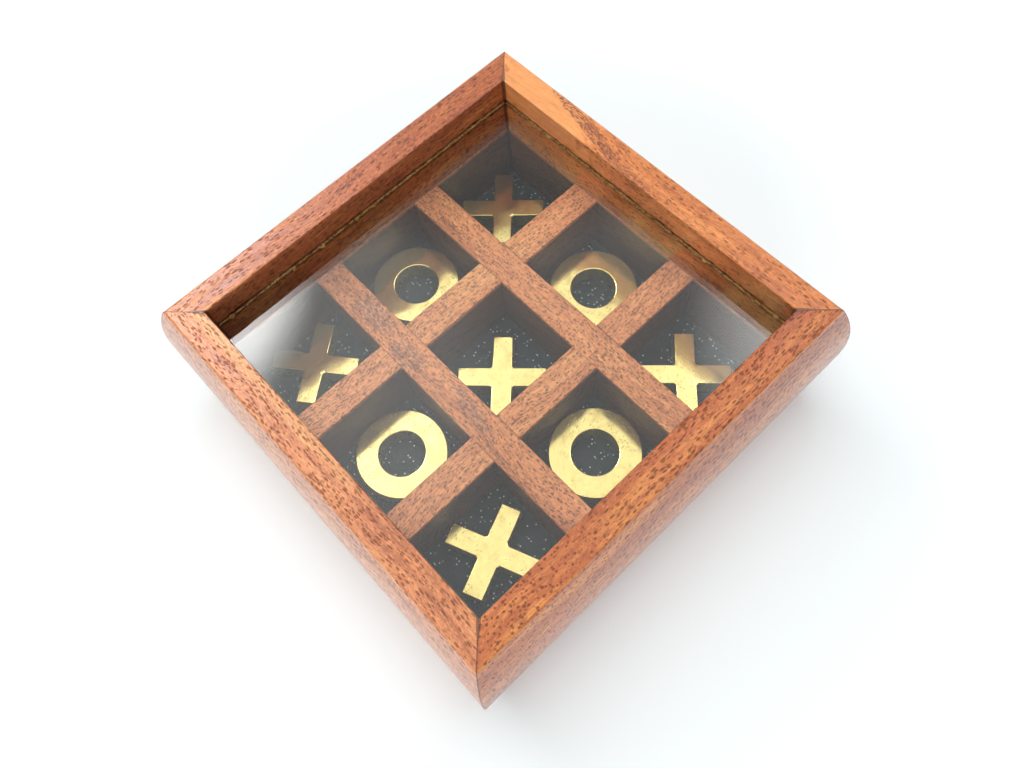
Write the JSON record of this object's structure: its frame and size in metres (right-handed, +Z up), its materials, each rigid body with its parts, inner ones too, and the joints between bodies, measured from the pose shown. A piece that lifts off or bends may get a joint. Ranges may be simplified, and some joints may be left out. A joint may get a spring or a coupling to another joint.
{
  "type": "tic-tac-toe box",
  "caption": "Square mitred hardwood box with a lift-off glazed lid, a nine-cell lattice over felt, and loose brass crosses and noughts.",
  "frame": {"origin": "centre of the box at the level it stands on", "axes": "+Z up out of the glass; +X and +Y square to the sides; front is -Y, right is +X"},
  "size_m": [0.108, 0.108, 0.039],
  "materials": {
    "lid_wood": "oiled, open-pored reddish hardwood",
    "tray_wood": "oiled, open-pored reddish hardwood",
    "lattice_wood": "sanded, fine-grained red-brown hardwood",
    "board_wood": "plain sanded board",
    "felt": "short-nap black felt",
    "glass": "clear float glass",
    "brass": "polished faces, satin sides"
  },
  "bodies": {
    "tray": {"tray_rail_front": "tray_wood", "tray_rail_right": "tray_wood", "tray_rail_back": "tray_wood", "tray_rail_left": "tray_wood", "base_board": "board_wood", "felt_lining": "felt", "lattice_bar_over_front": "lattice_wood", "lattice_bar_over_back": "lattice_wood", "lattice_bar_under_left": "lattice_wood", "lattice_bar_under_right": "lattice_wood"},
    "lid": {"lid_rail_front": "lid_wood", "lid_rail_right": "lid_wood", "lid_rail_back": "lid_wood", "lid_rail_left": "lid_wood", "glass_pane": "glass"},
    "cross_1_piece": {"cross_1": "brass"},
    "cross_2_piece": {"cross_2": "brass"},
    "cross_3_piece": {"cross_3": "brass"},
    "cross_4_piece": {"cross_4": "brass"},
    "cross_5_piece": {"cross_5": "brass"},
    "nought_1_piece": {"nought_1": "brass"},
    "nought_2_piece": {"nought_2": "brass"},
    "nought_3_piece": {"nought_3": "brass"},
    "nought_4_piece": {"nought_4": "brass"}
  },
  "joints": [
    {"name": "lid_lift", "type": "slide", "parent": "tray", "child": "lid", "axis": [0, 0, 1], "range_m": [0, 0.045]},
    {"name": "cross_1_lift", "type": "slide", "parent": "tray", "child": "cross_1_piece", "axis": [0, 0, 1], "range_m": [0, 0.018]},
    {"name": "cross_2_lift", "type": "slide", "parent": "tray", "child": "cross_2_piece", "axis": [0, 0, 1], "range_m": [0, 0.018]},
    {"name": "cross_3_lift", "type": "slide", "parent": "tray", "child": "cross_3_piece", "axis": [0, 0, 1], "range_m": [0, 0.018]},
    {"name": "cross_4_lift", "type": "slide", "parent": "tray", "child": "cross_4_piece", "axis": [0, 0, 1], "range_m": [0, 0.018]},
    {"name": "cross_5_lift", "type": "slide", "parent": "tray", "child": "cross_5_piece", "axis": [0, 0, 1], "range_m": [0, 0.018]},
    {"name": "nought_1_lift", "type": "slide", "parent": "tray", "child": "nought_1_piece", "axis": [0, 0, 1], "range_m": [0, 0.018]},
    {"name": "nought_2_lift", "type": "slide", "parent": "tray", "child": "nought_2_piece", "axis": [0, 0, 1], "range_m": [0, 0.018]},
    {"name": "nought_3_lift", "type": "slide", "parent": "tray", "child": "nought_3_piece", "axis": [0, 0, 1], "range_m": [0, 0.018]},
    {"name": "nought_4_lift", "type": "slide", "parent": "tray", "child": "nought_4_piece", "axis": [0, 0, 1], "range_m": [0, 0.018]}
  ]
}
